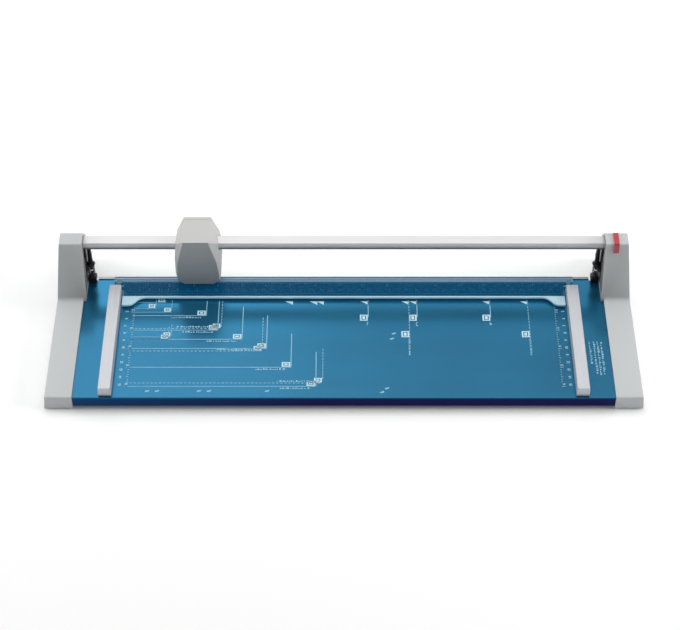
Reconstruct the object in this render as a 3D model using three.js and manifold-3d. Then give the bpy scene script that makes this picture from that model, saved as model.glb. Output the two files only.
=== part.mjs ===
// Rotary paper trimmer: a sheet-steel cutting table between two moulded end caps, a sprung guide rail
// that carries the cutting head, a round blade that rolls along a steel bed knife, and a clear clamp
// strip that holds the paper. Millimetres, +Z up, origin on the ground under the middle of the machine,
// +X along the cut, -Y towards the user.
import * as THREE from "three";
import { mergeVertices } from "three/addons/utils/BufferGeometryUtils.js";
import { ConvexGeometry } from "three/addons/geometries/ConvexGeometry.js";
import Module from "manifold-3d";

const wasm = await Module();
wasm.setup();

// ---------------------------------------------------------------- driving dimensions
const GAP = 0.3; // running and assembly clearance
const OVERALL_LENGTH = 600;
const OVERALL_DEPTH = 211;
const TABLE_TOP = 17; // height of the cutting table's surface
const SHEET = 1.5; // steel sheet of the table
const CUT_Y = 62.5; // plane of the cut
const HEAD_X = -151.5; // where the cutting head is parked

const cap = {
  outer: OVERALL_LENGTH / 2, // outer side at the ground
  inner: 271.2, // inner side along the ramp
  front: -OVERALL_DEPTH / 2,
  rear: OVERALL_DEPTH / 2,
  bottom: 1.5,
  wall: 2.2,
  draft: 8.5 / 86, // the outer side leans inwards by this much per millimetre of height
};
const tower = { inner: 268.4, lid: [268.9, 270.5], foot: TABLE_TOP + 0.4, top: 86, toe: 19.5 };
const table = { half: 270.9, front: -105.2, rear: 57.5, lip: 12, hem: 10, flange: 12.5 };
const tab = { reach: 288, width: 24, top: 11.5, y: [-70, 10], screwX: 280 };
const knife = { half: 258.5, thick: 3.2, height: 13, screwX: [-200, -70, 70, 200], screwZ: 9.5 };
const guide = { x: 238.3, base: 13, crown: 12.4, height: 11.2, front: -102.5, rear: 40, screwY: [-85, 20] };
const rail = { half: 271.7, y: 58, depth: 13, z: 72, height: 8.6, wall: 1.5 };
const lift = { x: 264.2, collarZ: 41.8, shelfTop: 23.2 };
const strip = { rear: 58.5, front: 28.5, under: TABLE_TOP + 2.5, thick: 2, ear: 241, inside: 230.5 };
const pin = { x: 236, y: 51.5, r: 1.5 };
const blade = { r: 14, thick: 1.2, z: TABLE_TOP + 13.2, front: CUT_Y + GAP };
const footPad = { x: 284, y: 92, r: 7, height: 2.5 };

// ---------------------------------------------------------------- materials
const finish = (color, roughness, metalness, extra = {}) =>
  new THREE.MeshStandardMaterial({ color, roughness, metalness, ...extra });
const bluePaint = finish(0x2f7396, 0.45, 0.1);
const greyShell = finish(0xb4b4b6, 0.55, 0);
const coverGrey = finish(0x9a9c9e, 0.55, 0);
const guideGrey = finish(0xb9bbc4, 0.4, 0.6);
const railAluminium = finish(0xd8d9da, 0.35, 0.9);
const groundSteel = finish(0xc9cccf, 0.25, 1);
const darkSteel = finish(0x3a3c3d, 0.4, 0.9);
const blackPlastic = finish(0x1c1d1e, 0.5, 0);
const blackRubber = finish(0x151515, 0.85, 0);
const clearPlastic = finish(0xcfe4e6, 0.1, 0, { transparent: true, opacity: 0.35 });
const redInlay = finish(0xb3202e, 0.35, 0);

// ---------------------------------------------------------------- shape helpers
// A closed three.js geometry as a manifold solid.
function solid(geometry) {
  const bare = new THREE.BufferGeometry();
  const source = geometry.index ? geometry.toNonIndexed() : geometry;
  bare.setAttribute("position", source.getAttribute("position"));
  const merged = mergeVertices(bare, 1e-4);
  const triVerts = new Uint32Array(merged.index.array);
  const vertProperties = merged.attributes.position.array;
  return new wasm.Manifold(new wasm.Mesh({ numProp: 3, vertProperties, triVerts }));
}

function geometryOf(manifold) {
  const mesh = manifold.getMesh();
  const geometry = new THREE.BufferGeometry();
  geometry.setAttribute("position", new THREE.BufferAttribute(mesh.vertProperties, 3));
  geometry.setIndex(new THREE.BufferAttribute(mesh.triVerts, 1));
  return geometry;
}

const join = (first, ...rest) => rest.reduce((sum, piece) => sum.add(piece), first);
const cut = (first, ...rest) => rest.reduce((sum, piece) => sum.subtract(piece), first);

function box(x, y, z) {
  const made = new THREE.BoxGeometry(x[1] - x[0], y[1] - y[0], z[1] - z[0]);
  return solid(made.translate((x[0] + x[1]) / 2, (y[0] + y[1]) / 2, (z[0] + z[1]) / 2));
}

// A turned piece: profile is [radius, height] pairs from the axis out and back to the axis.
function turned(profile, sides = 20) {
  const points = profile.map(([r, h]) => new THREE.Vector2(r, h));
  return new THREE.LatheGeometry(points, sides).rotateX(Math.PI / 2);
}

// Turned about a line parallel to Z at (x, y); heights are absolute.
function turnedZ(x, y, profile, sides) {
  return solid(turned(profile, sides).translate(x, y, 0));
}

// Turned about a line parallel to Y at (x, z); heights are absolute Y values.
function turnedY(x, z, profile, sides) {
  return solid(turned(profile, sides).rotateX(-Math.PI / 2).translate(x, 0, z));
}

const rodProfile = (r, from, to) => [[0, from], [r, from], [r, to], [0, to]];
const rodZ = (x, y, r, from, to, sides) => turnedZ(x, y, rodProfile(r, from, to), sides);
const rodY = (x, z, r, from, to, sides) => turnedY(x, z, rodProfile(r, from, to), sides);

// An outline whose corners [u, v, radius] are rounded by a curve where a radius is given.
function outline(corners) {
  const points = corners.map(([u, v]) => new THREE.Vector2(u, v));
  const shape = new THREE.Shape();
  corners.forEach(([, , wanted = 0], i) => {
    const here = points[i];
    const before = points[(i + points.length - 1) % points.length];
    const after = points[(i + 1) % points.length];
    const radius = Math.min(wanted, here.distanceTo(before) * 0.45, here.distanceTo(after) * 0.45);
    const enter = here.clone().add(before.clone().sub(here).setLength(radius));
    const leave = here.clone().add(after.clone().sub(here).setLength(radius));
    if (i === 0) shape.moveTo(enter.x, enter.y);
    else shape.lineTo(enter.x, enter.y);
    if (radius > 0) shape.quadraticCurveTo(here.x, here.y, leave.x, leave.y);
  });
  shape.closePath();
  return shape;
}

function extruded(shape, from, to, basis, curveSegments = 4) {
  const depth = to - from;
  const geometry = new THREE.ExtrudeGeometry(shape, { depth, bevelEnabled: false, curveSegments });
  return geometry.translate(0, 0, from).applyMatrix4(basis);
}

const axis = (x, y, z) => new THREE.Vector3(x, y, z);
const alongX = new THREE.Matrix4().makeBasis(axis(0, 1, 0), axis(0, 0, 1), axis(1, 0, 0));
const alongY = new THREE.Matrix4().makeBasis(axis(0, 0, 1), axis(1, 0, 0), axis(0, 1, 0));
const alongZ = new THREE.Matrix4();

// Outlines in (y, z) run along X, in (z, x) along Y and in (x, y) along Z.
const runX = (corners, from, to, segments) => solid(extruded(outline(corners), from, to, alongX, segments));
const runY = (corners, from, to, segments) => solid(extruded(outline(corners), from, to, alongY, segments));
const runZ = (corners, from, to, segments) => solid(extruded(outline(corners), from, to, alongZ, segments));

// A coil spring about a line parallel to Z, as a wire swept along a helix.
function coil(radius, wire, from, to, turns, stepsPerTurn = 12, wireSides = 6) {
  class Helix extends THREE.Curve {
    getPoint(t) {
      const turn = 2 * Math.PI * turns * t;
      const z = from + wire + (to - from - 2 * wire) * t;
      return new THREE.Vector3(radius * Math.cos(turn), radius * Math.sin(turn), z);
    }
  }
  const section = new THREE.Shape();
  for (let i = 0; i < wireSides; i += 1) {
    const angle = (2 * Math.PI * i) / wireSides;
    const [u, v] = [wire * Math.cos(angle), wire * Math.sin(angle)];
    if (i === 0) section.moveTo(u, v);
    else section.lineTo(u, v);
  }
  section.closePath();
  const steps = Math.round(turns * stepsPerTurn);
  return new THREE.ExtrudeGeometry(section, { steps, extrudePath: new Helix(), bevelEnabled: false });
}

const root = new THREE.Group();

// Adds a named piece; side -1 mirrors a right-hand piece to the left.
function place(name, material, shape, side = 1, x = 0) {
  const geometry = shape.isBufferGeometry ? shape : geometryOf(shape);
  const mesh = new THREE.Mesh(geometry, material);
  mesh.name = name;
  mesh.scale.x = side;
  mesh.position.x = x;
  root.add(mesh);
  return mesh;
}

// Calls make(word, side) for the left and the right of the machine.
function bothSides(make) {
  make("left", -1);
  make("right", 1);
}

// A pan-head screw about a line parallel to Z, head at the bottom.
function screwFromBelow(x, y, headBottom, tip, headR = 3, shankR = 1.5) {
  const headTop = headBottom + 2;
  const profile = [[0, headBottom], [headR - 0.6, headBottom], [headR, headBottom + 0.8], [headR, headTop]];
  return turnedZ(x, y, [...profile, [shankR, headTop], [shankR, tip], [0, tip]], 16);
}

// ---------------------------------------------------------------- cutting table
// One folded sheet: top, front lip with a hem, rear flange, and end flanges with tabs for the end caps.
function tablePlate() {
  const under = TABLE_TOP - SHEET;
  const { half, front, rear } = table;
  const lipFoot = TABLE_TOP - table.lip;
  const folded = runX(
    [
      [front, lipFoot],
      [front, TABLE_TOP, 1.2],
      [rear, TABLE_TOP],
      [rear, TABLE_TOP - table.flange],
      [rear - SHEET, TABLE_TOP - table.flange],
      [rear - SHEET, under],
      [front + SHEET, under],
      [front + SHEET, lipFoot + SHEET],
      [front + table.hem, lipFoot + SHEET],
      [front + table.hem, lipFoot],
    ],
    -half,
    half,
  );
  const parts = [];
  const holes = [];
  for (const side of [-1, 1]) {
    const span = (a, b) => [Math.min(side * a, side * b), Math.max(side * a, side * b)];
    parts.push(box(span(half - SHEET, half), [-98, 52], [tab.top - SHEET, under + 0.1]));
    for (const y of tab.y) {
      const across = [y - tab.width / 2, y + tab.width / 2];
      parts.push(box(span(half - 0.1, tab.reach), across, [tab.top - SHEET, tab.top]));
      holes.push(rodZ(side * tab.screwX, y, 1.9, 5, TABLE_TOP - 3, 16));
    }
    for (const y of guide.screwY) holes.push(rodZ(side * guide.x, y, 1.9, 10, 20, 16));
    holes.push(rodZ(side * pin.x, pin.y, pin.r + GAP, 10, 20, 16));
  }
  for (const x of knife.screwX) holes.push(rodY(x, knife.screwZ, 1.8, rear - 4, rear + 2, 16));
  return cut(join(folded, ...parts), ...holes);
}
place("table_plate", bluePaint, tablePlate());

// ---------------------------------------------------------------- bed knife
function bedKnife() {
  const bar = runX(
    [
      [CUT_Y - knife.thick, TABLE_TOP - knife.height],
      [CUT_Y - knife.thick, TABLE_TOP, 0.4],
      [CUT_Y, TABLE_TOP],
      [CUT_Y, TABLE_TOP - knife.height],
    ],
    -knife.half,
    knife.half,
  );
  const sinks = knife.screwX.map((x) =>
    turnedY(x, knife.screwZ, [[0, 59], [1.8, 59], [1.8, 60.6], [3.2, 62], [3.2, 63], [0, 63]], 16),
  );
  return cut(bar, ...sinks);
}
place("bed_knife", groundSteel, bedKnife());

function knifeBacking() {
  const y = [table.rear + GAP, CUT_Y - knife.thick - GAP];
  const bar = box([-knife.half, knife.half], y, [TABLE_TOP - 12, TABLE_TOP - 2.2]);
  return cut(bar, ...knife.screwX.map((x) => rodY(x, knife.screwZ, 1.8, 55, 62, 16)));
}
place("knife_backing", blackPlastic, knifeBacking());

// Countersunk screws, flush with the knife's rear face and clear of the blade's path.
knife.screwX.forEach((x, i) => {
  const profile = [[0, 52], [1.5, 52], [1.5, 60.6], [2.8, 61.9], [2.8, 62.3], [0, 62.3]];
  place(`knife_screw_${i + 1}`, darkSteel, turnedY(x, knife.screwZ, profile, 16));
});

// ---------------------------------------------------------------- end caps
// The side view in (y, z): a low ramp at the front, a leaning tower, and a heel behind the cut.
const brow = { toeY: 27, y: 42.5 }; // foot and top of the tower's leaning front
const towerFace = [
  [brow.toeY, tower.toe, 4],
  [brow.y, tower.top, 2],
  [58.5, tower.top, 3],
  [72, 71, 3],
  [93, 24, 4],
];
const capSide = [
  [cap.front, cap.bottom],
  [cap.front, 18, 2],
  ...towerFace,
  [cap.rear, 15, 3],
  [cap.rear, cap.bottom],
];

// The outline moved inwards by a wall; the bottom edge runs out below, so that the cavity is open.
function insetSide(corners, wall) {
  const lines = corners.map((here, i) => {
    const next = corners[(i + 1) % corners.length];
    const run = new THREE.Vector2(next[0] - here[0], next[1] - here[1]).normalize();
    return { point: new THREE.Vector2(here[0] + run.y * wall, here[1] - run.x * wall), run };
  });
  return corners.map(([, , radius = 0], i) => {
    const a = lines[(i + lines.length - 1) % lines.length];
    const b = lines[i];
    const between = b.point.clone().sub(a.point);
    const along = between.cross(b.run) / a.run.cross(b.run);
    return [a.point.x + a.run.x * along, a.point.y + a.run.y * along, Math.max(0, radius - 1)];
  });
}

// Leans the far side of a run along X inwards with height, as moulding draft does.
function leaning(corners, from, to) {
  const geometry = extruded(outline(corners), from, to, alongX, 4);
  const position = geometry.attributes.position;
  for (let i = 0; i < position.count; i += 1) {
    if (position.getX(i) > (from + to) / 2) position.setX(i, to - cap.draft * position.getZ(i));
  }
  return solid(geometry);
}

const towerSide = [[26.5, tower.foot], ...towerFace.slice(1), [95.6, tower.foot]];

function endCap() {
  const main = leaning(capSide, cap.inner, cap.outer);
  const body = join(main, runX(towerSide, tower.inner, cap.inner + 1));
  const hollowSide = insetSide(capSide, cap.wall);
  hollowSide[0][1] = -1;
  hollowSide[hollowSide.length - 1][1] = -1;
  const hollow = leaning(hollowSide, cap.inner + 2, cap.outer - cap.wall);
  const towerHollow = runX(insetSide(towerSide, cap.wall), tower.inner - 1, cap.inner + 3);
  const shell = cut(body, hollow, towerHollow);
  const ribs = [49.4, 64.4].map((y) => box([cap.inner + 1.9, 290.5], [y, y + 2.2], [8, 72]));
  const bosses = tab.y.map((y) => rodZ(tab.screwX, y, 3.5, tab.top + GAP, 18, 16));
  const posts = [-1, 1].map((end) => rodZ(footPad.x, end * footPad.y, 8, footPad.height + GAP, 17.5, 20));
  const pilots = tab.y.map((y) => rodZ(tab.screwX, y, 1.8, 5, 16.6, 16));
  const slots = tab.y.map((y) => {
    const reach = tab.width / 2 + 0.4;
    const height = [tab.top - SHEET - GAP, tab.top + GAP];
    return box([cap.inner - 1, cap.inner + 3.8], [y - reach, y + reach], height);
  });
  return cut(join(shell, ...ribs, ...bosses, ...posts), ...pilots, ...slots);
}

// The tower's inner side: a lid set into the tower's rim, with a slot for the rail.
function towerLid() {
  const plate = runX(insetSide(towerSide, cap.wall + GAP), ...tower.lid);
  const top = rail.z + rail.height / 2;
  return cut(plate, box([260, tower.lid[1] + 1], [51.1, 64.9], [lift.shelfTop - GAP, top + GAP]));
}

const capScrew = (y) => screwFromBelow(tab.screwX, y, tab.top - SHEET - GAP - 2, 15.8);

bothSides((word, side) => {
  place(`${word}_end_cap`, greyShell, endCap(), side);
  place(`${word}_tower_lid`, coverGrey, towerLid(), side);
  tab.y.forEach((y, i) => place(`${word}_cap_screw_${i + 1}`, darkSteel, capScrew(y), side));
  for (const [end, at] of [["front", -1], ["rear", 1]]) {
    const { x, y, r, height } = footPad;
    const profile = [[0, 0], [r - 0.8, 0], [r, 0.8], [r, height], [0, height]];
    place(`${word}_${end}_foot`, blackRubber, turnedZ(x, at * y, profile, 24), side);
  }
});

// A plain red inlay, a rounded fin that wraps over the top front edge of the right tower.
function inlay() {
  const [over, thick, drop] = [GAP, 1.2, 11];
  const lean = (tower.top - tower.toe) / (brow.y - brow.toeY);
  const corner = [brow.y - over, tower.top + over];
  const foot = [corner[0] - drop / lean, corner[1] - drop];
  return runX(
    [
      [57.5, corner[1]],
      corner,
      foot,
      [foot[0] - thick, foot[1] + thick, 1],
      [corner[0] - thick, corner[1] + thick, 2],
      [57.5, corner[1] + thick, 1],
    ],
    276.6,
    281.8,
  );
}
place("red_inlay", redInlay, inlay());

// ---------------------------------------------------------------- side guides
// Bars that square the paper to the cut, with slightly drafted sides, screwed on from below.
function sideGuide() {
  const [x, z] = [guide.x, TABLE_TOP + GAP];
  const [base, crown] = [guide.base / 2, guide.crown / 2];
  const bar = runY(
    [
      [z, x - base],
      [z, x + base],
      [z + 1.5, x + base],
      [z + guide.height, x + crown, 0.8],
      [z + guide.height, x - crown, 0.8],
      [z + 1.5, x - base],
    ],
    guide.front,
    guide.rear,
  );
  return cut(bar, ...guide.screwY.map((y) => rodZ(x, y, 1.8, 15, 22.5, 16)));
}
bothSides((word, side) => {
  place(`${word}_side_guide`, guideGrey, sideGuide(), side);
  guide.screwY.forEach((y, i) => {
    const screw = screwFromBelow(guide.x, y, TABLE_TOP - SHEET - GAP - 2, 21.8);
    place(`${word}_guide_screw_${i + 1}`, darkSteel, screw, side);
  });
});

// ---------------------------------------------------------------- guide rail and its springs
const railY = [rail.y - rail.depth / 2, rail.y + rail.depth / 2];
const railZ = [rail.z - rail.height / 2, rail.z + rail.height / 2];

// A tube whose front bulges forward, which shows as a shaded band under the flat top.
function guideRail() {
  const [front, rear] = railY;
  const [low, high] = railZ;
  const tube = runX(
    [
      [front + 1.5, low],
      [front + 0.5, low + 1.4],
      [front, low + 3.4],
      [front + 0.15, high - 3],
      [front + 0.6, high - 1.4],
      [front + 1.6, high],
      [rear, high, 0.8],
      [rear, low, 0.8],
    ],
    -rail.half,
    rail.half,
    2,
  );
  const side = 1.6 + rail.wall / 2;
  const boreY = [front + side, rear - rail.wall];
  const bore = box([-rail.half - 1, rail.half + 1], boreY, [low + rail.wall, high - rail.wall]);
  const studs = [-1, 1].map((side) => rodZ(side * lift.x, rail.y, 1.8, railZ[0] - 1, railZ[0] + 2, 12));
  return cut(tube, bore, ...studs);
}
place("guide_rail", railAluminium, guideRail());

// Slides up and down between the ribs of the tower; its spigot plugs the end of the rail.
function railShoe() {
  const block = box([rail.half + GAP, 280.5], [52, 64], [24, 75.4]);
  const inset = rail.wall + GAP;
  const spigotY = [railY[0] + inset + 0.9, railY[1] - inset];
  const spigot = box([252, rail.half + 1], spigotY, [railZ[0] + inset + 0.6, railZ[1] - inset]);
  return join(block, spigot);
}

// Pushed up by the spring: a stud in the rail, a tapered stem, a sharp-edged collar and a spring stub.
function liftPin() {
  const top = railZ[0] - GAP;
  const at = lift.collarZ;
  return turnedZ(
    lift.x,
    rail.y,
    [
      [0, at - 7.5],
      [1.5, at - 7.5],
      [1.5, at - 1.4],
      [3.4, at - 1.4],
      [4.5, at - 0.2],
      [4.5, at + 0.2],
      [2.6, at + 1.6],
      [1.9, top],
      [1.5, top],
      [1.5, top + 1.8],
      [0, top + 1.8],
    ],
    18,
  );
}

const liftSpring = () =>
  coil(3.0, 0.5, lift.shelfTop + GAP, lift.collarZ - 1.4 - GAP, 6.5).translate(lift.x, rail.y, 0);

// Black block at the tower's foot that the lift spring stands on.
function springSeat() {
  const block = box([260, tower.inner - GAP], [53.5, 62.5], [tower.foot, lift.shelfTop]);
  return join(block, rodZ(lift.x, rail.y, 1.6, lift.shelfTop - 0.2, 29, 12));
}

bothSides((word, side) => {
  place(`${word}_spring_seat`, blackPlastic, springSeat(), side);
  place(`${word}_rail_shoe`, blackPlastic, railShoe(), side);
  place(`${word}_lift_pin`, darkSteel, liftPin(), side);
  place(`${word}_lift_spring`, darkSteel, liftSpring(), side);
});

// ---------------------------------------------------------------- clear clamp strip
const stripTop = strip.under + strip.thick;

// Straight strip whose front corners run out in curved tabs beside the guides, with an ear past each.
function clampStrip() {
  const half = [
    [212, strip.front, 6],
    [221, 17.5, 6],
    [strip.inside, 17.5, 1.5],
    [strip.inside, 45.5, 1],
    [strip.ear, 45.5, 1.5],
    [strip.ear, strip.rear, 1.5],
  ];
  const mirrored = half.map(([x, ...rest]) => [-x, ...rest]).reverse();
  const plate = runZ([...half, ...mirrored], strip.under, stripTop, 6);
  const sinks = [-1, 1].map((side) => {
    const profile = [[0, 18], [1.8, 18], [1.8, 20.6], [3.1, 20.6], [3.1, 22], [0, 22]];
    return turnedZ(side * pin.x, pin.y, profile, 16);
  });
  return cut(plate, ...sinks);
}
place("clamp_strip", clearPlastic, clampStrip());

// The pin hangs from the strip's ear, passes the table and stands on a spring in a cup below.
function clampPin() {
  const foot = TABLE_TOP - SHEET - GAP;
  return turnedZ(
    pin.x,
    pin.y,
    [
      [0, foot - 1.2],
      [2.5, foot - 1.2],
      [2.5, foot],
      [pin.r, foot],
      [pin.r, stripTop - 0.6],
      [2.8, stripTop - 0.6],
      [2.8, stripTop],
      [0, stripTop],
    ],
    16,
  );
}
const cup = { r: 3.8, bore: 2.9, bottom: 4.5, top: TABLE_TOP - SHEET - GAP };

function springCup() {
  const { r, bore, bottom, top } = cup;
  const outside = [[0, bottom], [r, bottom], [r, top - 1], [r + 0.4, top - 1], [r + 0.4, top]];
  const inside = [[bore, top], [bore, bottom + 1], [0, bottom + 1]];
  return turnedZ(pin.x, pin.y, [...outside, ...inside], 16);
}

const clampSpring = () =>
  coil(2.1, 0.4, cup.bottom + 1 + GAP, cup.top - 1.2 - GAP, 4, 10).translate(pin.x, pin.y, 0);

bothSides((word, side) => {
  place(`${word}_clamp_pin`, groundSteel, clampPin(), side);
  place(`${word}_spring_cup`, blackPlastic, springCup(), side);
  place(`${word}_clamp_spring`, darkSteel, clampSpring(), side);
});

// ---------------------------------------------------------------- cutting head, in its own frame at x = 0
const head = { bottom: 23.5, top: 88, ridge: 90.7, half: 23.7, overhang: 6.5, split: 76, middleY: 63 };

// The front leans forward towards the top.
const headFront = (z) => 46 - ((z - head.bottom) * head.overhang) / (head.ridge - head.bottom);

// Half of the faceted housing's corners: x, y, z.
const headCorners = [
  [12.8, headFront(head.ridge), head.ridge],
  [13.9, 80, head.top],
  [20.2, headFront(58), 58],
  [21.7, headFront(40), 40],
  [21.7, headFront(30), 30],
  [15, headFront(23.5), 23.5],
  [21.7, 49.5, 79],
  [21.7, 78, 71.5],
  [23.3, 49, 60],
  [23.6, 79.5, 60],
  [23.8, 50, 38],
  [23.8, 79.5, 38],
  [22.6, 50, 28],
  [22.6, 79.5, 28],
  [20, 50, 23.5],
  [20, 80, 23.5],
  [19, 83, 64],
  [19, 83, 25],
  [11.5, 82.5, 84],
];

function headHull(corners) {
  const points = corners.flatMap(([x, y, z]) => [new THREE.Vector3(x, y, z), new THREE.Vector3(-x, y, z)]);
  return solid(new ConvexGeometry(points));
}

function headShell() {
  const wall = 2;
  const inner = headCorners.map(([x, y, z]) => {
    const shrinkX = (x * (head.half - wall)) / head.half;
    const towardsMiddle = y + (y < head.middleY ? wall : -wall);
    const lowered = z > 80 ? z - wall - 0.2 : z;
    return [shrinkX, towardsMiddle, z < 26 ? z - 5 : lowered];
  });
  const room = 0.4;
  const passage = box([-30, 30], [railY[0] - room, railY[1] + room], [railZ[0] - room, railZ[1] + room]);
  return cut(headHull(headCorners), headHull(inner), passage);
}

const screwAt = { x: 18.3, z: 56 };

function headCover(front) {
  const half = front ? [[-40, 40], [30, head.split - GAP / 2]] : [[-40, 40], [head.split + GAP / 2, 95]];
  const shell = headShell().intersect(box(half[0], half[1], [10, 100]));
  const bosses = [-1, 1].map((side) =>
    front
      ? rodY(side * screwAt.x, screwAt.z, 4, 66, half[1][1], 16)
      : rodY(side * screwAt.x, screwAt.z, 4.3, half[1][0], 82, 16),
  );
  const bores = [-1, 1].map((side) =>
    front
      ? rodY(side * screwAt.x, screwAt.z, 1.8, 68.5, 80, 12)
      : turnedY(side * screwAt.x, screwAt.z, [[0, 70], [1.8, 70], [1.8, 79], [3, 79], [3, 90], [0, 90]], 12),
  );
  const trimmed = join(...bosses).intersect(headHull(headCorners));
  return cut(join(shell, trimmed), ...bores);
}
place("head_front_cover", greyShell, headCover(true), 1, HEAD_X);
place("head_rear_cover", greyShell, headCover(false), 1, HEAD_X);

bothSides((word, side) => {
  const [x, z] = [screwAt.x * side, screwAt.z];
  const profile = [[0, 69], [1.5, 69], [1.5, 79.3], [2.7, 79.3], [2.7, 81.2], [0, 81.2]];
  place(`${word}_head_screw`, darkSteel, turnedY(x, z, profile, 14), 1, HEAD_X);
});

// Sliding bushes, one at each end of the head, that ring the rail.
const bushX = [9, 14];

function slideBush() {
  const ring = (grow) => [[railY[0] - grow, railY[1] + grow], [railZ[0] - grow, railZ[1] + grow]];
  const [outerY, outerZ] = ring(2.3);
  const [boreY, boreZ] = ring(0.25);
  return cut(box(bushX, outerY, outerZ), box([0, 30], boreY, boreZ));
}
bothSides((word, side) => place(`${word}_slide_bush`, blackPlastic, slideBush(), side, HEAD_X));

// Carrier: a shelf under the rail with posts to the bushes, a back plate for the axle and front legs.
const axle = { front: 59.6, plate: [70.6, 74.6] };

function bladeCarrier() {
  const shelf = box([-16.5, 16.5], [50.5, axle.plate[1]], [47.2, 50]);
  const plate = box([-14, 14], axle.plate, [25, 48]);
  const legs = box([-12, 12], [50.5, 54.5], [27, 48]);
  const posts = [-1, 1].map((side) => {
    const x = side > 0 ? bushX : [-bushX[1], -bushX[0]];
    return box(x, [53.5, 62.5], [49.5, railZ[0] - 2.3 - GAP]);
  });
  return cut(join(shelf, plate, legs, ...posts), rodY(0, blade.z, 1.5 + GAP, 60, 80, 16));
}
place("blade_carrier", blackPlastic, bladeCarrier(), 1, HEAD_X);

// The pad that presses on the clamp strip as the head goes by.
function glideShoe() {
  const [z, foot] = [27 - GAP, stripTop + GAP];
  const lead = 4; // ends curve up like a ski
  return runY(
    [[z, -14], [foot + 2, -14], [foot, -14 + lead], [foot, 14 - lead], [foot + 2, 14], [z, 14]],
    50.5,
    57,
  );
}
place("glide_shoe", blackPlastic, glideShoe(), 1, HEAD_X);

function bladeAxle() {
  const [from, to] = [axle.front, axle.plate[1] + GAP];
  return turnedY(0, blade.z, [[0, from], [1.5, from], [1.5, to], [3, to], [3, to + 1.8], [0, to + 1.8]], 16);
}
place("blade_axle", groundSteel, bladeAxle(), 1, HEAD_X);

const nutY = [60.1, 62.2];
const axleNut = () => cut(rodY(0, blade.z, 3.4, ...nutY, 6), rodY(0, blade.z, 1.5 + GAP, 55, 65, 16));
place("axle_nut", groundSteel, axleNut(), 1, HEAD_X);

// Half shroud over the blade, with a back plate that the thrust spring passes.
function bladeGuard() {
  const [outer, inner] = [16.3, 15];
  const upper = box([-20, 20], [55, 75], [blade.z, 50]);
  const arch = cut(rodY(0, blade.z, outer, 61.5, 70.3, 32), rodY(0, blade.z, inner, 60, 68.9, 32));
  return cut(arch, rodY(0, blade.z, 4.4, 60, 75, 16)).intersect(upper);
}
place("blade_guard", blackPlastic, bladeGuard(), 1, HEAD_X);

// Presses the blade sideways against the bed knife.
function thrustSpring() {
  const spring = coil(2.9, 0.4, 66.6 + GAP / 2, 70.3, 2.5, 12);
  return spring.rotateX(-Math.PI / 2).translate(0, 0, blade.z);
}
place("thrust_spring", darkSteel, thrustSpring(), 1, HEAD_X);

// ---------------------------------------------------------------- round blade
function rotaryBlade() {
  const { r, thick, front, z } = blade;
  const back = front + thick;
  const profile = [[3, front], [r, front], [r, front + 0.15], [r - 2.6, back], [3, back], [3, front]];
  return turnedY(0, z, profile, 48);
}
place("rotary_blade", groundSteel, rotaryBlade(), 1, HEAD_X);

// Hub: a collar behind the blade with a spigot through its bore, free on the axle.
function bladeHub() {
  const { front, thick, z } = blade;
  const back = front + thick + GAP;
  const bore = 1.5 + GAP;
  const profile = [[bore, front], [2.7, front], [2.7, back], [5.5, back], [5.5, back + 2], [bore, back + 2]];
  return turnedY(0, z, [...profile, [bore, front]], 24);
}
place("blade_hub", blackPlastic, bladeHub(), 1, HEAD_X);

export default root;
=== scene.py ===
# %% [markdown]
# # Rotary paper trimmer
# A sheet-steel cutting table, two moulded end caps, a sprung rail with a sliding cutting head, and a
# clear clamp strip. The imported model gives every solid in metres, so each new piece is placed from the
# boxes of those solids. This lesson adds finishes, soft edges, fine springs, screws and the print.

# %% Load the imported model
import bpy, bmesh, math, random
from mathutils import Matrix, Vector


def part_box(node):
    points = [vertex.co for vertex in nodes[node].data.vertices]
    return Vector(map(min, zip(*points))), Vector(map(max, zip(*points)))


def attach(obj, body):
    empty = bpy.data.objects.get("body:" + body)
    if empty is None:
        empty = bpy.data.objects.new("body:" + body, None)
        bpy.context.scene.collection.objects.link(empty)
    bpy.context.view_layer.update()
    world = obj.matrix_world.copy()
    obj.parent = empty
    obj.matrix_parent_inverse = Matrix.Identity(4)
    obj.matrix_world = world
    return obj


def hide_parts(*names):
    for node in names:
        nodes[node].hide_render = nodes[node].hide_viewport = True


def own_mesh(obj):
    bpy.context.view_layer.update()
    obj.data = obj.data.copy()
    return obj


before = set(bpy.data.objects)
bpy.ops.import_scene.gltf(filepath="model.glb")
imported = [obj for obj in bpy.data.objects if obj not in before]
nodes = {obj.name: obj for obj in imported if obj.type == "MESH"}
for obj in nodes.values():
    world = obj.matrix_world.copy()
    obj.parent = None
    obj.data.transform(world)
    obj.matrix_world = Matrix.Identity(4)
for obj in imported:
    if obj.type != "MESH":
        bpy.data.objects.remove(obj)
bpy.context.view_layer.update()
MM = 0.001
random.seed(4)

# %% [markdown]
# ## Camera
# The machine is seen from the front, a little left of its middle, looking down at 47 degrees. A long
# lens from far away keeps the sides almost parallel, as in a catalogue view.

# %% Camera
CUT_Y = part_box("bed_knife")[1].y
TABLE_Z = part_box("table_plate")[1].z
AIM_X, AIM_BEFORE_CUT = -3.83 * MM, 54.95 * MM
PITCH, DISTANCE = math.radians(47.13), 1.93659
SENSOR, LENS = 36.0, 98.94  # millimetres, as on a real camera

aim = Vector((AIM_X, CUT_Y - AIM_BEFORE_CUT, TABLE_Z))
camera_data = bpy.data.cameras.new("camera")
camera_data.sensor_width, camera_data.lens = SENSOR, LENS
camera = bpy.data.objects.new("camera", camera_data)
camera.location = aim + DISTANCE * Vector((0, -math.cos(PITCH), math.sin(PITCH)))
camera.rotation_euler = (math.pi / 2 - PITCH, 0, 0)
bpy.context.scene.collection.objects.link(camera)
bpy.context.scene.camera = camera
print("camera height, mm:", round(camera.location.z / MM))

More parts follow.
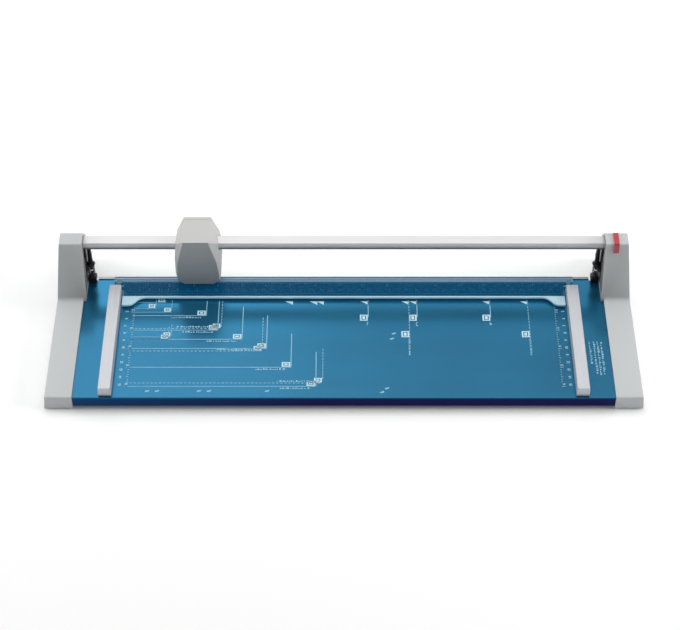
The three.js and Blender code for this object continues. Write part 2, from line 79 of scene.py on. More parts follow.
# %% [markdown]
# ## Studio
# A pale floor and a broad soft light overhead, set a little behind the machine. Level faces then come
# out bright and the faces towards the viewer stay in half shade, which shows the facets. A wide light
# far behind is what the glossy table mirrors, with a smaller one for the soft glow at its left. Two
# lights at the sides lift the end caps; they are hidden from reflections, or the table would glare.

# %% Lights
scene = bpy.context.scene
scene.view_settings.view_transform = "Standard"


def soft_light(name, place, target, size, power):
    """A rectangular light at `place` that faces `target`; size in metres, power in watts."""
    lamp = bpy.data.lights.new(name, "AREA")
    lamp.shape, lamp.size, lamp.size_y = "RECTANGLE", *size
    lamp.energy = power
    light = bpy.data.objects.new(name, lamp)
    light.location = place
    light.rotation_euler = (Vector(target) - Vector(place)).to_track_quat("-Z", "Y").to_euler()
    scene.collection.objects.link(light)
    return light


soft_light("overhead", (0.0, 0.35, 1.7), (0, 0.1, 0), (3.2, 1.2), 22.5)
soft_light("back_wall", (-0.6, 2.4, 2.4), (-0.1, 0, 0), (3.8, 2.2), 20)
soft_light("back_left_glow", (-0.5, 2.2, 2.45), (-0.15, 0, 0), (0.75, 1.6), 3.8)
for name, x, y, power in (("left_side", -1.9, 0.1, 15), ("right_side", 1.9, -0.1, 23)):
    side_light = soft_light(name, (x, y, 0.8), (0, 0.05, 0.05), (1.0, 1.0), power)
    side_light.visible_glossy = False

world = bpy.data.worlds.new("studio")
world.use_nodes = True
world.node_tree.nodes["Background"].inputs["Color"].default_value = (1, 1, 1, 1)
world.node_tree.nodes["Background"].inputs["Strength"].default_value = 0.17
scene.world = world

# %% [markdown]
# ### Floor
# The floor glows faintly near the machine, so that its shadow stays visible. From a metre away on the
# glow grows, until the floor runs into a white distance with no horizon.

# %% Floor
HALF_FLOOR = 30
NEAR, FAR = 1.0, 2.4  # metres, between which the glow grows
NEAR_GLOW, FAR_GLOW = 0.07, 0.9

floor_mesh = bpy.data.meshes.new("floor")
grid = bmesh.new()
bmesh.ops.create_grid(grid, x_segments=1, y_segments=1, size=HALF_FLOOR)
grid.to_mesh(floor_mesh)
grid.free()
floor = bpy.data.objects.new("floor", floor_mesh)
sweep = bpy.data.materials.new("white_sweep")
sweep.use_nodes = True
white = sweep.node_tree.nodes["Principled BSDF"].inputs
white["Base Color"].default_value = (0.93, 0.93, 0.93, 1)
white["Roughness"].default_value = 0.9
white["Specular IOR Level"].default_value = 0.1
white["Emission Color"].default_value = (1, 1, 1, 1)
sweep_tree = sweep.node_tree
here = sweep_tree.nodes.new("ShaderNodeTexCoord")
reach = sweep_tree.nodes.new("ShaderNodeVectorMath")
reach.operation = "LENGTH"
glow = sweep_tree.nodes.new("ShaderNodeMapRange")
for key, number in (("From Min", NEAR), ("From Max", FAR), ("To Min", NEAR_GLOW), ("To Max", FAR_GLOW)):
    glow.inputs[key].default_value = number
sweep_tree.links.new(here.outputs["Object"], reach.inputs[0])
sweep_tree.links.new(reach.outputs["Value"], glow.inputs["Value"])
sweep_tree.links.new(glow.outputs["Result"], white["Emission Strength"])
floor_mesh.materials.append(sweep)
scene.collection.objects.link(floor)
print("floor, metres across:", 2 * HALF_FLOOR)

# %% [markdown]
# ## Finishes
# Every finish is a node graph worked out from the object's own coordinates, so it needs no unwrapping:
# a base colour that drifts slightly, a roughness that varies, and a fine bump for the grain.

# %% A helper that builds a finish


def linear(r, g, b):
    """An sRGB colour, 0 to 255, as linear light."""
    def one(c):
        c /= 255
        return c / 12.92 if c <= 0.04045 else ((c + 0.055) / 1.055) ** 2.4
    return (one(r), one(g), one(b), 1.0)


class Finish:
    """A material with short calls for the nodes that the finishes below share."""

    def __init__(self, name, metallic=0.0, coat=0.0, coat_roughness=0.1):
        self.material = bpy.data.materials.new(name)
        self.material.use_nodes = True
        self.tree = self.material.node_tree
        self.shader = self.tree.nodes["Principled BSDF"]
        self.shader.inputs["Metallic"].default_value = metallic
        self.shader.inputs["Coat Weight"].default_value = coat
        self.shader.inputs["Coat Roughness"].default_value = coat_roughness
        self.position = self.node("ShaderNodeTexCoord").outputs["Object"]

    def node(self, kind, **inputs):
        made = self.tree.nodes.new(kind)
        for key, value in inputs.items():
            self.feed(made.inputs[key.replace("_", " ")], value)
        return made

    def feed(self, socket, value):
        if isinstance(value, bpy.types.NodeSocket):
            self.tree.links.new(value, socket)
        else:
            socket.default_value = value

    def axis(self, letter):
        """Where a point lies along X, Y or Z, in metres."""
        return self.node("ShaderNodeSeparateXYZ", Vector=self.position).outputs[letter]

    def noise(self, size, detail=3.0, stretch=(1, 1, 1)):
        """Noise whose grains are about `size` metres, stretched along an axis by a factor."""
        mapping = self.node("ShaderNodeMapping", Vector=self.position)
        mapping.inputs["Scale"].default_value = [1 / (size * s) for s in stretch]
        made = self.node("ShaderNodeTexNoise", Vector=mapping.outputs[0], Scale=1.0, Detail=detail)
        return made.outputs["Fac"]

    def spread(self, value, low, high, start=0.3, end=0.7):
        """Carries `value` from the range start..end over to the range low..high."""
        made = self.node("ShaderNodeMapRange", Value=value)
        for key, number in (("From Min", start), ("From Max", end), ("To Min", low), ("To Max", high)):
            made.inputs[key].default_value = number
        return made.outputs["Result"]

    def mix(self, factor, a, b):
        made = self.tree.nodes.new("ShaderNodeMix")
        made.data_type = "RGBA"
        self.feed(made.inputs[0], factor)
        self.feed(made.inputs[6], a)
        self.feed(made.inputs[7], b)
        return made.outputs[2]

    def pick(self, rule, a, b):
        """The larger (MAXIMUM) or the smaller (MINIMUM) of two values."""
        made = self.tree.nodes.new("ShaderNodeMath")
        made.operation = rule
        self.feed(made.inputs[0], a)
        self.feed(made.inputs[1], b)
        return made.outputs[0]

    def edges(self):
        """Near 1 along sharp outer edges and 0 elsewhere, from the mesh's own pointiness."""
        point = self.node("ShaderNodeNewGeometry").outputs["Pointiness"]
        return self.spread(point, 0.0, 1.0, 0.52, 0.6)

    def colour(self, value):
        self.feed(self.shader.inputs["Base Color"], value)

    def roughness(self, value):
        self.feed(self.shader.inputs["Roughness"], value)

    def bump(self, height, depth, strength=1.0):
        made = self.node("ShaderNodeBump", Height=height)
        made.inputs["Distance"].default_value = depth
        made.inputs["Strength"].default_value = strength
        self.feed(self.shader.inputs["Normal"], made.outputs[0])


def drift(base, change):
    """The base colour made lighter or darker by a factor."""
    return tuple(min(1.0, c * change) for c in base[:3]) + (1.0,)


# %% [markdown]
# ### Moulded plastic
# The end caps and the cutting head are spark-eroded mouldings: a fine pebble grain, nearly no gloss,
# a slight drift in tone from the flow of the plastic, and polished high spots on the edges.

# %% Moulded plastic


def moulded(name, tone, grain=0.00045, depth=0.00004, rough=(0.5, 0.62)):
    finish = Finish(name)
    cloud = finish.noise(0.06, 2.0)
    grit = finish.noise(grain, 2.0)
    base = linear(*tone)
    shade = finish.mix(finish.spread(cloud, 0.0, 1.0), drift(base, 0.97), drift(base, 1.03))
    worn = finish.mix(finish.edges(), shade, drift(base, 1.12))
    finish.colour(worn)
    finish.roughness(finish.spread(finish.noise(0.004), *rough))
    finish.bump(grit, depth, 0.35)
    finish.shader.inputs["Specular IOR Level"].default_value = 0.4
    return finish.material


shell_grey = moulded("moulded_shell_grey", (185, 188, 189))
lid_grey = moulded("moulded_lid_grey", (120, 121, 124), rough=(0.45, 0.6))
head_grey = moulded("moulded_head_grey", (184, 184, 183), grain=0.0004)
black_moulding = moulded("moulded_black", (34, 35, 38), rough=(0.4, 0.55))
pin_plastic = moulded("moulded_pin_blue_grey", (96, 128, 146), rough=(0.3, 0.4))

# %% [markdown]
# ### Table paint
# The table is steel with a metallic mid-blue paint under a clear lacquer. Its colour is painted up to
# 1.4 times lighter towards the cut, a painted light that lifts the shade of the strip and rail.
# It has a soft shine with a gentle orange-peel ripple. The folded edges have no lacquer and are coloured
# with painted shade, from a deep blue at the left end to navy.

# %% Table paint
paint = Finish("table_blue_paint", metallic=0.75, coat_roughness=0.25)
paint.shader.inputs["Specular IOR Level"].default_value = 0.15
blue, deep_blue, navy = linear(26, 105, 141), linear(0, 54, 100), linear(0, 12, 72)
FOLD = (TABLE_Z - 1.4 * MM, TABLE_Z - 0.5 * MM)  # the folded edge begins between these heights
LACQUER = 0.36
cloudy = paint.mix(paint.spread(paint.noise(0.12, 2.0), 0, 1), drift(blue, 0.93), drift(blue, 1.06))
# Painted light: the paint grows up to 1.4 times lighter towards the cut, lifting the shade of the strip
# and rail.
painted_light_near_cut = paint.spread(paint.axis("Y"), 0.0, 1.0, -0.035, 0.025)
top_tone_and_painted_light = paint.mix(painted_light_near_cut, cloudy, drift(blue, 1.4))
# Painted shade: the folded edges are coloured darker, deep blue at the left end going to navy further
# right.
edge_painted_shade = paint.mix(paint.spread(paint.axis("X"), 0.0, 1.0, -0.27, -0.03), deep_blue, navy)
height = paint.axis("Z")
paint.colour(paint.mix(paint.spread(height, 1.0, 0.0, *FOLD), top_tone_and_painted_light, edge_painted_shade))
paint.feed(paint.shader.inputs["Coat Weight"], paint.spread(height, 0.0, LACQUER, *FOLD))
paint.roughness(paint.spread(paint.noise(0.02, 4.0, (6, 1, 1)), 0.19, 0.25))
paint.bump(paint.noise(0.0016, 2.0), 0.00003, 0.3)
print("paint:", paint.material.name)

# %% [markdown]
# ### Metals
# Ground steel carries fine lines along its length; the rail is drawn aluminium, satin anodised, with
# even fainter die lines. The guides are sprayed in a pale grey metallic lacquer.

# %% Metals


def metal(name, tone, rough, lines, along, depth=0.000008, metallic=1.0):
    finish = Finish(name, metallic=metallic)
    stretch = tuple(60 if axis == along else 1 for axis in "XYZ")
    streak = finish.noise(lines, 3.0, stretch)
    base = linear(*tone)
    finish.colour(finish.mix(finish.spread(streak, 0, 1), drift(base, 0.94), drift(base, 1.05)))
    finish.roughness(finish.spread(streak, *rough))
    finish.bump(streak, depth, 0.5)
    return finish.material


ground_steel = metal("ground_steel", (146, 152, 156), (0.22, 0.34), 0.0003, "X")
guide_lacquer = metal("guide_lacquer", (198, 201, 206), (0.42, 0.52), 0.0012, "Y", metallic=0.35)
dark_steel = metal("blackened_steel", (74, 76, 79), (0.3, 0.42), 0.0004, "Z")

# Painted shade: the rail's colour goes from silver to dark grey below the bulge of its front.
rail_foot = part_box("guide_rail")[0].z
anodised = Finish("anodised_rail", metallic=0.3)
die_lines = anodised.noise(0.0005, 3.0, (60, 1, 1))
silver, shade = linear(222, 222, 222), linear(128, 128, 128)
die_line_silver = anodised.mix(anodised.spread(die_lines, 0, 1), drift(silver, 0.95), drift(silver, 1.04))
painted_shade_below_bulge = anodised.spread(anodised.axis("Z"), 1.0, 0.0, rail_foot + 2.0 * MM, rail_foot + 4.8 * MM)
anodised.colour(anodised.mix(painted_shade_below_bulge, die_line_silver, shade))
anodised.roughness(anodised.spread(die_lines, 0.36, 0.44))
anodised.bump(die_lines, 0.000008, 0.5)

# %% [markdown]
# ### Rubber, inlay and ink
# Rubber feet are dull with a dusty bloom. The inlay on the right tower is a glossy red strip left
# plain. The ink is a thin pale layer with slightly uneven cover: lines are thin enough to let the blue
# through, while the label patches are printed twice and look almost white.

# %% Rubber, inlay and ink
rubber = moulded("foot_rubber", (30, 30, 31), grain=0.0009, depth=0.00006, rough=(0.75, 0.9))

inlay = Finish("red_inlay_gloss", coat=0.6, coat_roughness=0.08)
red = linear(176, 30, 50)
inlay.colour(inlay.mix(inlay.spread(inlay.noise(0.004), 0, 1), drift(red, 0.9), drift(red, 1.12)))
inlay.roughness(inlay.spread(inlay.noise(0.002), 0.28, 0.4))
inlay.bump(inlay.noise(0.0012), 0.00002, 0.3)


def print_ink(name, tone):
    ink = Finish(name)
    pale = linear(*tone)
    ink.colour(ink.mix(ink.spread(ink.noise(0.003), 0, 1), drift(pale, 0.88), drift(pale, 1.05)))
    ink.roughness(ink.spread(ink.noise(0.001), 0.5, 0.65))
    ink.bump(ink.noise(0.0004), 0.00001, 0.3)
    return ink.material


line_ink = print_ink("line_ink", (142, 192, 214))
label_ink = print_ink("label_ink", (196, 226, 238))
scale_ink = print_ink("scale_ink", (190, 224, 238))

# %% [markdown]
# ### Clear strip
# The clamp strip is clear acrylic with a faint blue tint. Its sawn edges carry a painted highlight in a
# near-white colour and a faint painted glow by emission, its rear band over the cut is slightly frosted,
# and its two front tabs are satin. One graph covers all
# of it: the position on the strip chooses how milky it is.

# %% Clear strip
strip_low, strip_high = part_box("clamp_strip")
acrylic = Finish("clear_acrylic")
acrylic.shader.inputs["Specular IOR Level"].default_value = 0.25
acrylic.shader.inputs["IOR"].default_value = 1.49
FROST = 0.5
front, rear, backwards = strip_low.y, strip_high.y, acrylic.axis("Y")
rear_band = acrylic.spread(backwards, 0.0, FROST, rear - 8.3 * MM, rear - 7.3 * MM)
over_knife = acrylic.spread(backwards, FROST, 0.06, rear - 3.4 * MM, rear - 2.8 * MM)
tab = acrylic.spread(backwards, 0.85, 0.0, front + 12.7 * MM, front + 13.3 * MM)
frosted = acrylic.pick("MINIMUM", rear_band, over_knife)
milk = acrylic.pick("MAXIMUM", frosted, tab)
facing = acrylic.node("ShaderNodeNewGeometry").outputs["Normal"]
upward = acrylic.node("ShaderNodeSeparateXYZ", Vector=facing).outputs["Z"]
sawn_edge_and_glow = acrylic.spread(upward, 0.97, 0.0, 0.9, 0.985)
haze = acrylic.spread(acrylic.noise(0.01), 0.2, 0.25)
cover = acrylic.pick("MAXIMUM", acrylic.pick("MAXIMUM", milk, sawn_edge_and_glow), haze)
acrylic.feed(acrylic.shader.inputs["Alpha"], cover)
milky, clear, lit_edge = linear(218, 246, 255), linear(20, 136, 190), linear(205, 250, 255)
acrylic.colour(acrylic.mix(sawn_edge_and_glow, acrylic.mix(milk, clear, milky), lit_edge))
# Painted glow: the sawn edges emit a faint pale blue light, and their near-white colour is a painted
# highlight.
acrylic.shader.inputs["Emission Color"].default_value = linear(150, 225, 255)
acrylic.feed(acrylic.shader.inputs["Emission Strength"], acrylic.spread(sawn_edge_and_glow, 0.0, 0.1, 0.0, 1.0))
acrylic.roughness(acrylic.spread(acrylic.noise(0.003), 0.12, 0.2))
acrylic.bump(acrylic.noise(0.02), 0.00002, 0.2)

# %% [markdown]
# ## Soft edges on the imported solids
# Real edges are never perfectly sharp: they catch a thin highlight. A planar Decimate first clears the
# flat triangles, then a small Bevel rounds each edge and a Weighted Normal keeps the flats flat.

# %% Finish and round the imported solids


def dress(name, material, radius=0.3 * MM, angle=28, segments=2):
    """Gives a solid its material and rounds each edge that turns more than `angle` degrees."""
    node = nodes[name]
    for slot in node.material_slots:
        slot.material = material
    node.data.shade_smooth()
    flat = node.modifiers.new("flat_faces", "DECIMATE")
    flat.decimate_type, flat.angle_limit = "DISSOLVE", math.radians(0.6)
    edge = node.modifiers.new("soft_edges", "BEVEL")
    edge.limit_method, edge.angle_limit = "ANGLE", math.radians(angle)
    edge.width, edge.segments, edge.harden_normals = radius, segments, True
    even = node.modifiers.new("even_shading", "WEIGHTED_NORMAL")
    even.keep_sharp = False


for side in ("left", "right"):
    dress(f"{side}_end_cap", shell_grey, 0.7 * MM, 20, 3)
    dress(f"{side}_tower_lid", lid_grey, 0.3 * MM)
    dress(f"{side}_side_guide", guide_lacquer, 0.3 * MM)
    dress(f"{side}_rail_shoe", black_moulding)
    dress(f"{side}_lift_pin", dark_steel, 0.12 * MM)
    dress(f"{side}_clamp_pin", pin_plastic, 0.12 * MM)
    dress(f"{side}_spring_cup", black_moulding, 0.12 * MM)
    dress(f"{side}_spring_seat", black_moulding, 0.3 * MM)
    dress(f"{side}_slide_bush", black_moulding)
    dress(f"{side}_head_screw", dark_steel, 0.1 * MM)
    for end in ("front", "rear"):
        dress(f"{side}_{end}_foot", rubber, 0.3 * MM)
    for number in (1, 2):
        dress(f"{side}_cap_screw_{number}", dark_steel, 0.15 * MM)
        dress(f"{side}_guide_screw_{number}", dark_steel, 0.15 * MM)
for number in (1, 2, 3, 4):
    dress(f"knife_screw_{number}", dark_steel, 0.1 * MM)
dress("table_plate", paint.material, 0.35 * MM)
dress("bed_knife", ground_steel, 0.15 * MM)
dress("knife_backing", black_moulding, 0.15 * MM)
dress("guide_rail", anodised.material, 0.35 * MM)
dress("clamp_strip", acrylic.material, 0.7 * MM, 28, 3)
dress("red_inlay", inlay.material, 0.35 * MM, 28, 3)
dress("head_front_cover", head_grey, 1.6 * MM, 12, 4)
dress("head_rear_cover", head_grey, 1.2 * MM, 12, 4)
for name in ("blade_carrier", "glide_shoe", "blade_guard", "blade_hub"):
    dress(name, black_moulding, 0.2 * MM)
for name in ("blade_axle", "axle_nut", "rotary_blade"):
    dress(name, ground_steel, 0.1 * MM)
print("dressed:", len([n for n in nodes.values() if n.modifiers]), "solids")

# %% [markdown]
# ## Springs
# The imported springs are coarse stand-ins. The real ones are drawn wire with closed ends. Each is swept
# again as a fine coil: the wire's section is carried along a helix whose pitch drops to one wire
# thickness at both ends. On the trimmer two of them shorten when the rail is pressed down, two with the
# clamp strip; here they are left at rest.

# %% Fine coil springs
spring_wire = metal("spring_wire", (118, 120, 124), (0.18, 0.3), 0.0002, "Z")
CLOSED = 1.0  # closed turns at each end
NEST = 0.98  # a closed turn rises by this part of the wire's thickness, so that turns just merge


def coil_spring(name, node, wire, turns, per_turn=28, sides=10):
    """Sweeps a wire of the given radius in the space of a packed spring that stands upright."""
    low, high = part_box(node)
    middle = (low + high) / 2
    height = high.z - low.z
    radius = (high.y - low.y) / 2 - wire
    steps = turns * per_turn
    closed_rise = 2 * wire * NEST
    open_rise = height - 2 * wire - 2 * CLOSED * closed_rise
    mesh = bmesh.new()
    rings = []
    for i in range(steps + 1):
        turn = i / per_turn
        inner = min(max((turn - CLOSED) / (turns - 2 * CLOSED), 0.0), 1.0)
        ends = min(turn, CLOSED) + max(0.0, turn - (turns - CLOSED))
        lift = wire + ends * closed_rise + inner * open_rise
        angle = 2 * math.pi * turn
        out = Vector((math.cos(angle), math.sin(angle), 0))
        centre = Vector((middle.x, middle.y, low.z + lift)) + out * radius
        ring = []
        for k in range(sides):
            around = 2 * math.pi * k / sides
            offset = out * (wire * math.cos(around)) + Vector((0, 0, wire * math.sin(around)))
            ring.append(mesh.verts.new(centre + offset))
        rings.append(ring)
    for a, b in zip(rings, rings[1:]):
        for k in range(sides):
            j = (k + 1) % sides
            mesh.faces.new((a[k], a[j], b[j], b[k]))
    mesh.faces.new(rings[0][::-1])
    mesh.faces.new(rings[-1])
    bmesh.ops.recalc_face_normals(mesh, faces=mesh.faces)
    data = bpy.data.meshes.new(name)
    mesh.to_mesh(data)
    mesh.free()
    data.shade_smooth()
    data.materials.append(spring_wire)
    spring = bpy.data.objects.new(name, data)
    scene.collection.objects.link(spring)
    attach(spring, "base")
    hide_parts(node)
    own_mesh(spring)
    print(name, "height, mm:", round(height / MM, 1))


for side in ("left", "right"):
    coil_spring(f"{side}_lift_coil", f"{side}_lift_spring", 0.42 * MM, 8)
    coil_spring(f"{side}_clamp_coil", f"{side}_clamp_spring", 0.3 * MM, 5)

# %% [markdown]
# ## Cross-head screws
# The screws at the rear and underneath show their heads, so they get a driver recess. Each screw is
# turned in bmesh and two crossed wedges are cut from it with a Boolean modifier, which is then applied.

# %% Screws with a cross recess


def apply_modifiers(thing):
    graph = bpy.context.evaluated_depsgraph_get()
    mesh = bpy.data.meshes.new_from_object(thing.evaluated_get(graph))
    thing.modifiers.clear()
    thing.data = mesh


def turned_piece(name, profile, sides=32):
    """Spins (radius, height) pairs round Z; the profile starts and ends on the axis."""
    mesh = bmesh.new()
    rings = []
    for radius, height in profile:
        if radius == 0:
            rings.append([mesh.verts.new((0, 0, height))])
        else:
            turns = [2 * math.pi * k / sides for k in range(sides)]
            ring = [(radius * math.cos(t), radius * math.sin(t), height) for t in turns]
            rings.append([mesh.verts.new(point) for point in ring])
    for a, b in zip(rings, rings[1:]):
        for k in range(sides):
            j = (k + 1) % sides
            corners = [a[k % len(a)], a[j % len(a)], b[j % len(b)], b[k % len(b)]]
            unique = list(dict.fromkeys(corners))
            if len(unique) > 2:
                mesh.faces.new(unique)
    bmesh.ops.recalc_face_normals(mesh, faces=mesh.faces)
    data = bpy.data.meshes.new(name)
    mesh.to_mesh(data)
    mesh.free()
    thing = bpy.data.objects.new(name, data)
    scene.collection.objects.link(thing)
    return thing


SHANK = 1.45 * MM  # radius
RECESS = 1.0 * MM  # depth
TAPER = 0.55  # the recess narrows to this part of its width at the bottom


def cross_screw(name, node, outward, head_radius, body):
    """A screw in the place of a packed one; `outward` is the way its head faces."""
    low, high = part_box(node)
    along = Vector(outward)
    length = abs((high - low).dot(along))
    r = head_radius
    profile = [(0, -length), (SHANK * 0.6, -length), (SHANK, -length + 0.8 * MM), (SHANK, -1.9 * MM)]
    profile += [(r - 0.15 * MM, -0.35 * MM), (r, -0.2 * MM), (r - 0.1 * MM, -0.05 * MM), (0, 0)]
    screw = turned_piece(name, profile)
    wedge = bpy.data.meshes.new("driver")
    cutter = bmesh.new()
    for long_x in (True, False):
        made = bmesh.ops.create_cube(cutter, size=1.0)["verts"]
        arm, slim = 1.25 * r, 0.3 * r
        size = (arm, slim, 2 * RECESS) if long_x else (slim, arm, 2 * RECESS)
        for v in made:
            v.co = Vector([c * s for c, s in zip(v.co, size)])
            if v.co.z < 0:
                v.co.x *= TAPER
                v.co.y *= TAPER
    cutter.to_mesh(wedge)
    cutter.free()
    driver = bpy.data.objects.new("driver", wedge)
    scene.collection.objects.link(driver)
    bite = screw.modifiers.new("recess", "BOOLEAN")
    bite.object, bite.solver, bite.use_self = driver, "EXACT", True
    bpy.context.view_layer.update()
    apply_modifiers(screw)
    bpy.data.objects.remove(driver)
    turn = along.to_track_quat("Z", "Y").to_matrix().to_4x4()
    top = (low + high) / 2 + along * (length / 2)
    screw.data.transform(Matrix.Translation(top) @ turn)
    screw.data.materials.clear()
    screw.data.materials.append(dark_steel)
    edge = screw.modifiers.new("soft_edges", "BEVEL")
    edge.width, edge.segments, edge.limit_method = 0.06 * MM, 2, "ANGLE"
    edge.harden_normals = True
    screw.data.shade_smooth()
    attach(screw, body)
    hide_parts(node)


REARWARD, DOWN = (0, 1, 0), (0, 0, -1)
for number in (1, 2, 3, 4):
    cross_screw(f"knife_cross_screw_{number}", f"knife_screw_{number}", REARWARD, 2.8 * MM, "base")
for side in ("left", "right"):
    cross_screw(f"{side}_head_cross_screw", f"{side}_head_screw", REARWARD, 2.65 * MM, "head")
    for number in (1, 2):
        for held in ("cap", "guide"):
            new, packed = f"{side}_{held}_cross_screw_{number}", f"{side}_{held}_screw_{number}"
            cross_screw(new, packed, DOWN, 3 * MM, "base")

# %% [markdown]
# ## The print
# Scales and paper outlines are screen-printed on the table. Each mark here is a slab a few hundredths
# of a millimetre high, and all marks of one kind are gathered in one mesh. The zero corner is where
# the left guide meets the cut; x runs along the cut and y towards the user.

# %% A pen for slabs of ink
INK = 0.05 * MM  # how high the ink stands
CLEARANCE = 0.01 * MM  # between ink and paint, so that the two faces never coincide
zero_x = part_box("left_side_guide")[1].x + 0.6 * MM


class Print:
    """Gathers thin slabs of ink; sizes in millimetres from the zero corner."""

    def __init__(self):
        self.mesh = bmesh.new()

    def at(self, x, y, z=0.0):
        return (zero_x + x * MM, CUT_Y - y * MM, TABLE_Z + CLEARANCE + z)

    def patch(self, corners):
        """A flat slab over the given corners, listed anticlockwise or clockwise."""
        low = [self.mesh.verts.new(self.at(x, y)) for x, y in corners]
        high = [self.mesh.verts.new(self.at(x, y, INK)) for x, y in corners]
        self.mesh.faces.new(low[::-1])
        self.mesh.faces.new(high)
        for i, corner in enumerate(low):
            j = (i + 1) % len(low)
            self.mesh.faces.new((corner, low[j], high[j], high[i]))

    def bar(self, x0, y0, x1, y1):
        self.patch([(x0, y1), (x1, y1), (x1, y0), (x0, y0)])

    def across(self, y, x0, x1, width=0.6, dash=None):
        """A line along x; `dash` gives the step from dash to dash and a dash's own length."""
        step, run = dash or (x1 - x0, x1 - x0)
        for i in range(max(1, int((x1 - x0) / step))):
            self.bar(x0 + i * step, y - width / 2, x0 + i * step + run, y + width / 2)

    def down(self, x, y0, y1, width=0.6, dash=None):
        step, run = dash or (y1 - y0, y1 - y0)
        for i in range(max(1, int((y1 - y0) / step))):
            self.bar(x - width / 2, y0 + i * step, x + width / 2, y0 + i * step + run)

    def finish(self, name, material):
        data = bpy.data.meshes.new(name)
        bmesh.ops.recalc_face_normals(self.mesh, faces=self.mesh.faces)
        self.mesh.to_mesh(data)
        self.mesh.free()
        data.materials.append(material)
        piece = bpy.data.objects.new(name, data)
        scene.collection.objects.link(piece)
        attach(piece, "base")
        print(name, "faces:", len(data.polygons))


# %% [markdown]
# ### Figures
# The numbers come from Blender's built-in typeface. Each digit is turned into a mesh once and then
# copied to every place where it is needed, which is much quicker than making hundreds of text objects.

# %% Digits
DIGIT_HEIGHT = 0.72  # of the typeface, for a text size of 1
DIGIT_GAP = 0.08
digits = {}


def digit(sign):
    """The points, the faces and the width of a digit."""
    if sign not in digits:
        text = bpy.data.curves.new("digit", "FONT")
        text.body, text.size, text.extrude, text.resolution_u = sign, 1.0, 0.5, 2
        text.offset = 0.02
        carrier = bpy.data.objects.new("digit", text)
        scene.collection.objects.link(carrier)
        mesh = carrier.to_mesh()
        shape = ([tuple(v.co) for v in mesh.vertices], [tuple(p.vertices) for p in mesh.polygons])
        width = max(v[0] for v in shape[0]) - min(v[0] for v in shape[0])
        digits[sign] = shape + (width,)
        carrier.to_mesh_clear()
        bpy.data.objects.remove(carrier)
        bpy.data.curves.remove(text)
    return digits[sign]


def figures(ink_mesh, number, x, y, height, turn=0.0):
    """Writes a number centred on (x, y); height is that of a digit, in millimetres."""
    size = height / DIGIT_HEIGHT
    shapes = [digit(sign) for sign in str(number)]
    total = sum(width for *_, width in shapes) + DIGIT_GAP * (len(shapes) - 1)
    pen = -total / 2
    for verts, faces, width in shapes:
        left = min(v[0] for v in verts)
        placed = []
        for vx, vy, vz in verts:
            u, v = (vx - left + pen) * size, (vy - DIGIT_HEIGHT / 2) * size
            du = u * math.cos(turn) - v * math.sin(turn)
            dv = u * math.sin(turn) + v * math.cos(turn)
            placed.append(ink_mesh.mesh.verts.new(ink_mesh.at(x + du, y - dv, (vz + 0.5) * INK)))
        for face in faces:
            ink_mesh.mesh.faces.new([placed[i] for i in face])
        pen += width + DIGIT_GAP


# %% [markdown]
# ### Scales
# Under the clear strip run an inch scale (nearest the cut) and a centimetre scale. Beside both guides
# run depth scales towards the user: ticks for inches, and figures for centimetres and inches.

# %% Scales
INCH = 25.4
CUT_LENGTH = 460
LAST_INCH, LAST_CENTIMETRE = 18, 45
INCH_SCALE, CENTIMETRE_SCALE = 8.6, 21.8  # y where the ticks start
INCH_FIGURES, CENTIMETRE_FIGURES = 12.2, 18.6  # y of the figures' middles
BESIDE = 2.6  # a figure stands this far before its tick
FINE_TICKS = 100  # every millimetre is ticked up to here, and then every fifth
RULE = 24.6  # y of the plain line below both scales
UPRIGHT = math.pi / 2


def tick(step, whole, half, lengths):
    """The length of a tick: the first for a whole unit, the second for a half, the last for others."""
    return lengths[0] if step % whole == 0 else lengths[1] if step % half == 0 else lengths[2]


scale = Print()
for step in range(0, LAST_INCH * 8 + 1):
    scale.down(step * INCH / 8, INCH_SCALE, INCH_SCALE + tick(step, 8, 4, (4.2, 2.6, 1.5)), 0.4)
for inch in range(1, LAST_INCH + 1):
    figures(scale, inch, inch * INCH - BESIDE, INCH_FIGURES, 3.4)
for step in range(0, CUT_LENGTH + 1):
    if step % 5 == 0 or step < FINE_TICKS:
        top = CENTIMETRE_SCALE - tick(step, 10, 5, (3.4, 2.4, 1.4))
        scale.down(step, top, CENTIMETRE_SCALE, 0.3)
for centimetre in range(1, LAST_CENTIMETRE + 1):
    figures(scale, centimetre, centimetre * 10 - BESIDE, CENTIMETRE_FIGURES, 2.9)
scale.across(RULE, 2, CUT_LENGTH - 2, 0.45)

LEFT_TICKS, RIGHT_TICKS = 14.6, 449.6
for x in (6.2, 458.4):
    for centimetre in range(4, 16):
        figures(scale, centimetre, x, centimetre * 10.0, 3.0, UPRIGHT)
for step in range(10, 6 * 8 + 1):
    y = step * INCH / 8
    reach = tick(step, 8, 4, (3.6, 2.4, 1.4))
    scale.across(y, LEFT_TICKS - reach, LEFT_TICKS, 0.45)
    scale.across(y, RIGHT_TICKS, RIGHT_TICKS + reach, 0.45)
for inch in range(2, 7):
    for x in (LEFT_TICKS - 2.0, RIGHT_TICKS + 2.0):
        figures(scale, inch, x, inch * INCH - 3.0, 3.0, UPRIGHT)
scale.finish("scale_print", scale_ink)

# %% [markdown]
# ### Paper outlines
# Each paper size is a corner: one line across, one line down, and a small pale label patch where they
# meet. Two kinds of mark repeat: the label patch, and rows of tiny marks that stand for small print.

# %% Marks for the outlines
DASH = (4.2, 2.6)
STRIP_EDGE = 34  # y from where lines come out from under the clear strip
RIM, SIDE_RIM = 1.2, 1.6


def label(sheet, x, y, width, height):
    """A pale frame with a smaller pale patch inside it; (x, y) is its right lower corner."""
    sheet.bar(x - width, y - height, x, y - height + RIM)
    sheet.bar(x - width, y - RIM, x, y)
    sheet.bar(x - width, y - height + RIM, x - width + SIDE_RIM, y - RIM)
    sheet.bar(x - SIDE_RIM, y - height + RIM, x, y - RIM)
    sheet.bar(x - width + SIDE_RIM + 1.0, y - height + RIM + 0.8, x - SIDE_RIM - 1.0, y - RIM - 0.8)


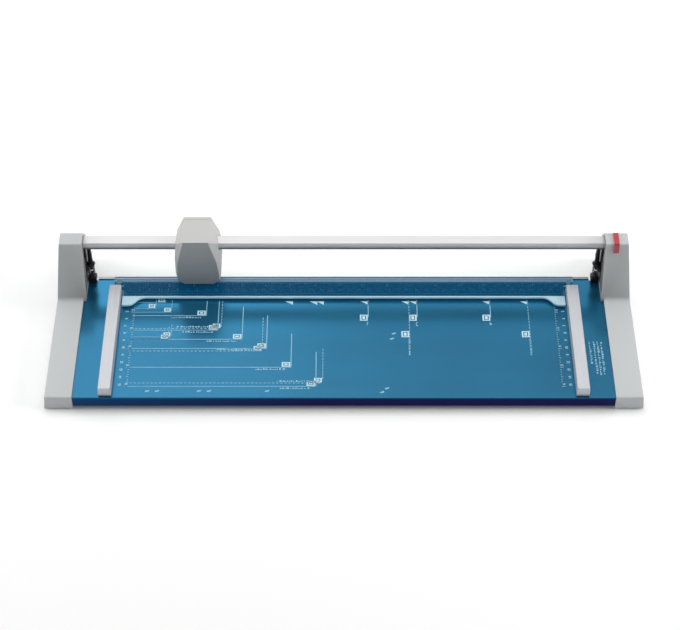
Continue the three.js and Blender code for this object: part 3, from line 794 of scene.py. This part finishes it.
def fine_row(sheet, x, y, length, turned=False):
    """A row of tiny marks, like small print seen from afar, with no letters in it."""
    pen = 0.0
    while pen < length:
        mark = random.choice((0.9, 1.3, 1.8, 2.4))
        rise = random.choice((1.0, 1.5, 2.0))
        if turned:
            sheet.bar(x, y + pen, x + rise, y + pen + mark)
        else:
            sheet.bar(x + pen, y - rise, x + pen + mark, y)
        pen += mark + random.choice((0.7, 0.9, 1.6))


# %% [markdown]
# Sizes in inches have solid lines, A sizes are dashed, cards have one of each. To the right, single
# lines mark longer cuts. Small arrows at the strip's edge mark the lines of the wider cuts.

# %% Paper outlines
INCH_SIZES = ((8, 6), (7, 5), (6, 4), (5, 3.5), (4, 3), (3.5, 2.2))  # inches
A_SIZES = ((210, 148), (148, 105), (105, 74))  # millimetres, as are all below
CARDS = ((54.0, 85.6), (51.5, 88.8), (45.5, 37.0), (36.0, 45.5), (52.5, 51.0))
SOLID_LINES, DASHED_LINES = (256.6, 307.3, 383.4), (298.9, 422.6)
ARROWS = (177.8, 203.2, 210.0, 256.6, 298.9, 307.3, 383.4, 422.6)
SMALL_PRINT = ((481.5, 92, 30), (486.0, 92, 42), (489.6, 92, 44), (493.2, 93, 42))  # x, y, length
FLECKS = ((32, 158.5), (42, 158.5), (84, 158.5), (94, 158.5), (152, 158.5),
          (280, 81), (278, 88), (272, 155), (267, 160))

outlines, labels = Print(), Print()
for width, depth in INCH_SIZES:
    x, y = width * INCH, depth * INCH
    outlines.across(y, 12, x, 0.7)
    outlines.down(x, max(STRIP_EDGE + 1, y - 46), y, 0.85)
    label(labels, x - 0.8, y - 0.8, 8.6, 6.2)
    fine_row(outlines, x - 36, y + 3.4, 30)
for width, depth in A_SIZES:
    outlines.across(depth, 12, width, 0.7, DASH)
    outlines.down(width, max(STRIP_EDGE + 1, depth - 46), depth, 0.75, DASH)
    label(labels, width - 0.8, depth - 0.8, 8.0, 6.0)
    fine_row(outlines, width - 46, depth - 1.6, 36)
for width, depth in CARDS:
    outlines.across(depth, 14, width, 0.5)
    outlines.down(width, max(STRIP_EDGE, depth - 17), depth, 0.7, DASH)
    label(labels, width - 0.8, depth - 0.8, 7.0, 5.4)
for x in SOLID_LINES:
    outlines.down(x, STRIP_EDGE, 58, 0.8)
    label(labels, x - 0.6, 63, 8.0, 8.4)
    fine_row(outlines, x - 1.6, 65, 5, turned=True)
for x in DASHED_LINES:
    outlines.down(x, STRIP_EDGE, 105, 0.75, DASH)
    label(labels, x - 0.6, 86, 8.0, 8.4)
    fine_row(outlines, x - 1.4, 88, 22, turned=True)
for x in ARROWS:
    labels.patch([(x - 7.5, 35.6), (x + 0.5, 35.6), (x + 0.5, 40.6)])
for x, y, length in SMALL_PRINT:
    fine_row(outlines, x, y, length, turned=True)
for x, y in FLECKS:
    outlines.patch([(x, y), (x + 4.5, y - 1.6), (x + 4.5, y + 0.4), (x + 1.2, y + 1.5)])
outlines.finish("outline_print", line_ink)
labels.finish("label_print", label_ink)
